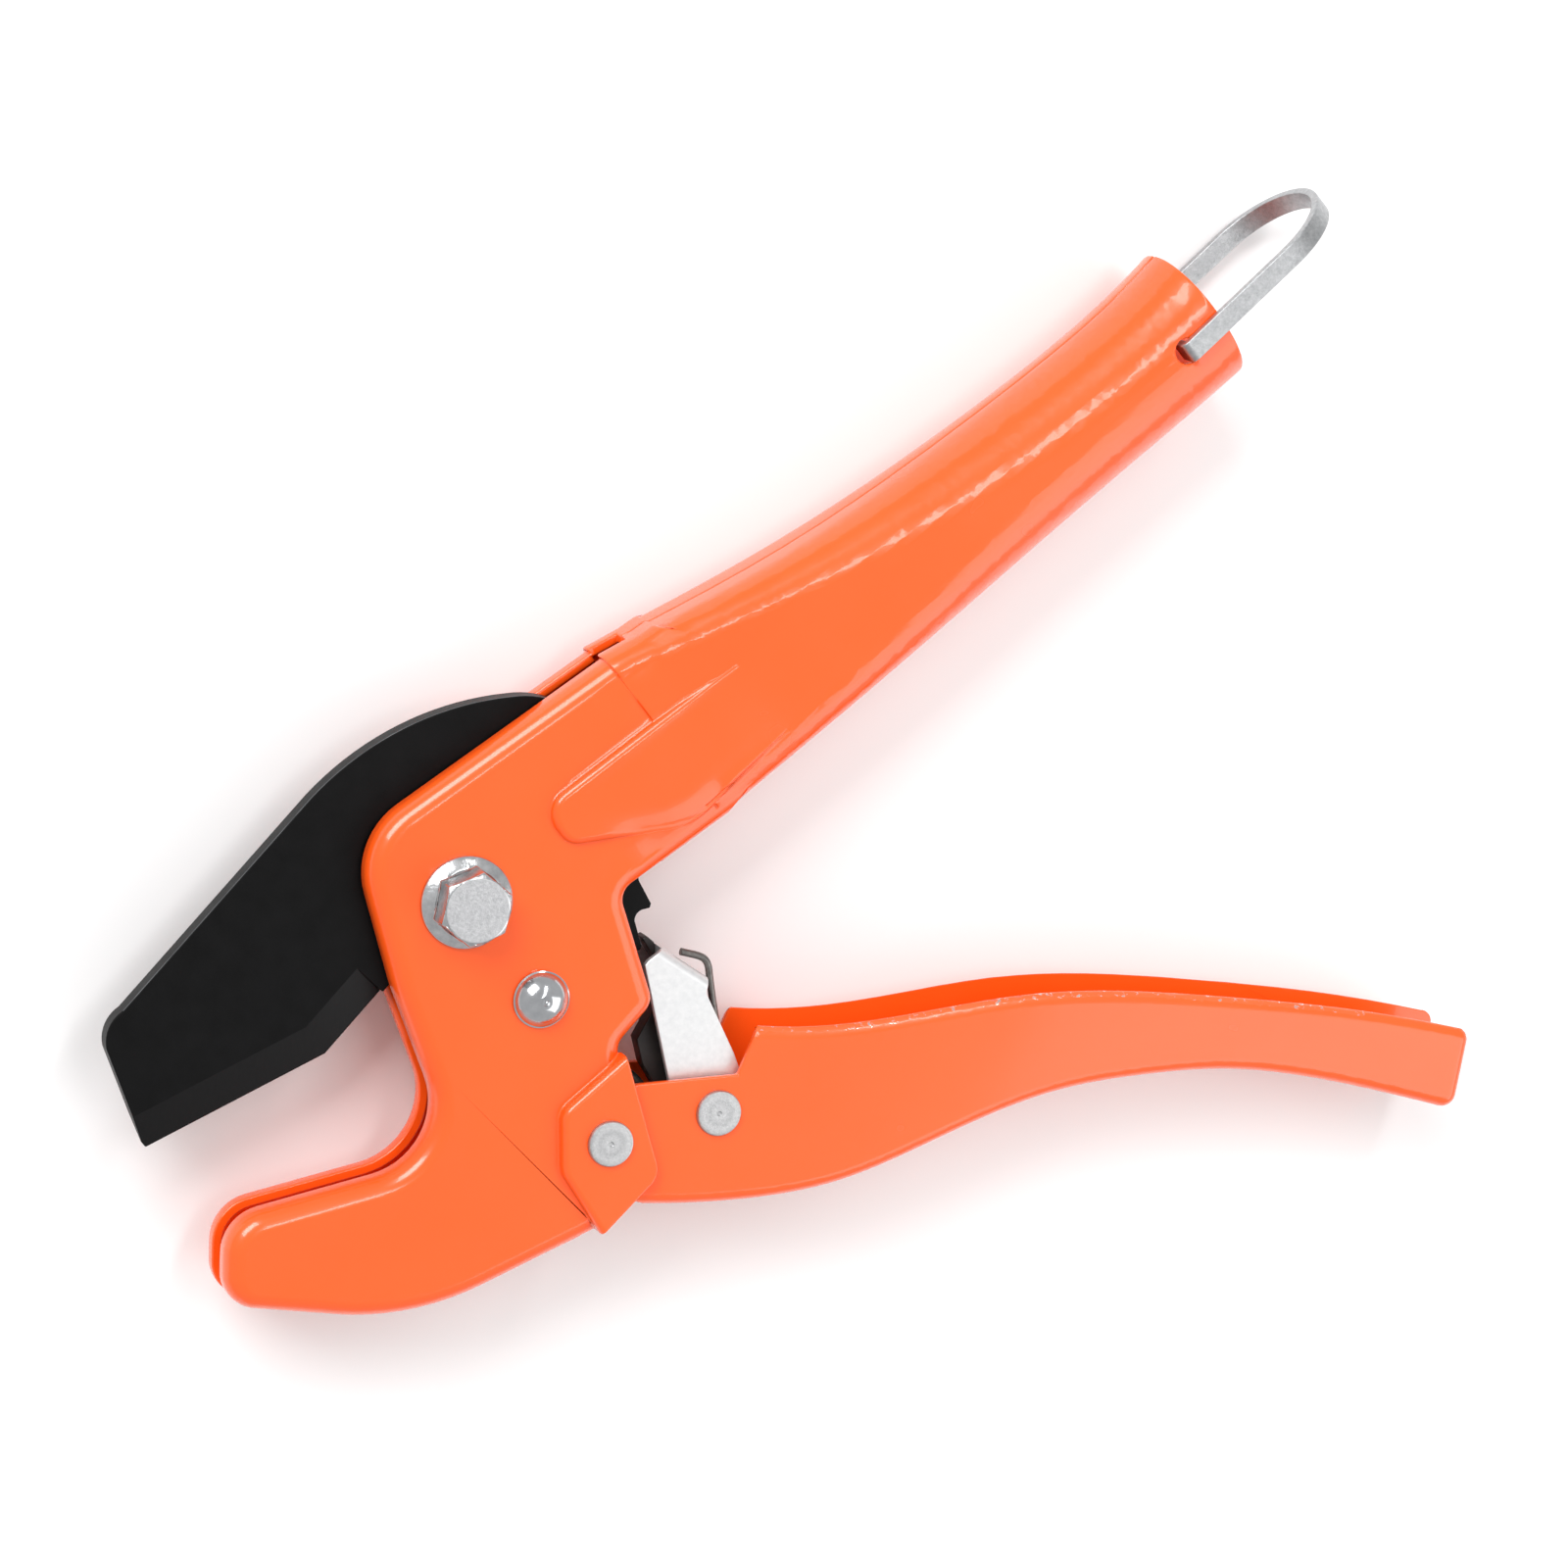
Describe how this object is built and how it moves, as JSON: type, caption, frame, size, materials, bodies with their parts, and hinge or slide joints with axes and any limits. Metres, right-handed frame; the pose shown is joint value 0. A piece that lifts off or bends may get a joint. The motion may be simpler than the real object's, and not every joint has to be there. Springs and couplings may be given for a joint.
{
  "type": "plastic pipe cutter",
  "caption": "Ratcheting one-hand cutter for plastic pipe: hooked steel body with tube handle, toothed pivoting blade, squeeze lever with spring pawl, and a swinging hanging bail.",
  "frame": {"origin": "on the blade pivot's axis, at the end face of its bolt, which is the plane the tool rests on", "axes": "+Z along the pivot axes through the tool's thickness, +X from the cutting end to the free end of the moving handle, +Y towards the body's tube handle"},
  "size_m": [0.2224, 0.1644, 0.0263],
  "materials": {
    "body_enamel": "glossy orange enamel on pressed steel",
    "handle_enamel": "glossy orange enamel on a folded steel channel",
    "blade_steel": "black coated tool steel with ground bevels",
    "bolt_zinc": "bright zinc plating",
    "rivet_steel": "matte pressed rivet head",
    "dome_steel": "polished dome",
    "bracket_zinc": "fine satin zinc plating",
    "pawl_steel": "black oxide on hardened steel",
    "spring_steel": "drawn spring wire",
    "bail_steel": "flat bright strip with a fine mottled grain",
    "inner_steel": "plain turned steel",
    "nylon": "natural nylon"
  },
  "bodies": {
    "body": {"body_shell": "body_enamel", "blade_bolt": "bolt_zinc", "blade_nut": "bolt_zinc", "nut_insert": "nylon", "blade_bush": "inner_steel", "blade_spacers": "inner_steel", "stop_rivet": "dome_steel", "stop_sleeve": "inner_steel", "handle_rivet": "rivet_steel", "handle_bush": "inner_steel", "handle_spring": "spring_steel"},
    "blade": {"blade": "blade_steel"},
    "handle": {"moving_handle": "handle_enamel", "pawl_rivet": "rivet_steel", "pawl_washers": "inner_steel"},
    "pawl": {"pawl_plate": "pawl_steel", "pawl_bracket": "bracket_zinc", "pawl_spacer": "inner_steel", "pawl_spring": "spring_steel"},
    "bail": {"hang_bail": "bail_steel"}
  },
  "joints": [
    {"name": "handle_pivot", "type": "hinge", "parent": "body", "child": "handle", "pos_m": [0.0215, -0.0387, 0.013], "axis": [0, 0, 1], "range_deg": [0, 28], "stiffness_Nm_per_rad": 1.2, "springref_deg": -20.05, "deforming": ["handle_spring"]},
    {"name": "pawl_pivot", "type": "hinge", "parent": "handle", "child": "pawl", "pos_m": [0.0395, -0.0361, 0.013], "axis": [0, 0, 1], "range_deg": [-40, 8]},
    {"name": "blade_pivot", "type": "hinge", "parent": "body", "child": "blade", "pos_m": [0, 0, 0.013], "axis": [0, 0, 1], "range_deg": [-58, 37]},
    {"name": "bail_swing", "type": "hinge", "parent": "body", "child": "bail", "pos_m": [0.11463, 0.07795, 0.013], "axis": [0, 0, 1], "range_deg": [-150, 145]}
  ],
  "couplings": [
    {"joint": "pawl_pivot", "follows": "handle_pivot", "ratio": -1.25},
    {"joint": "blade_pivot", "follows": "handle_pivot", "ratio": 0.443}
  ]
}
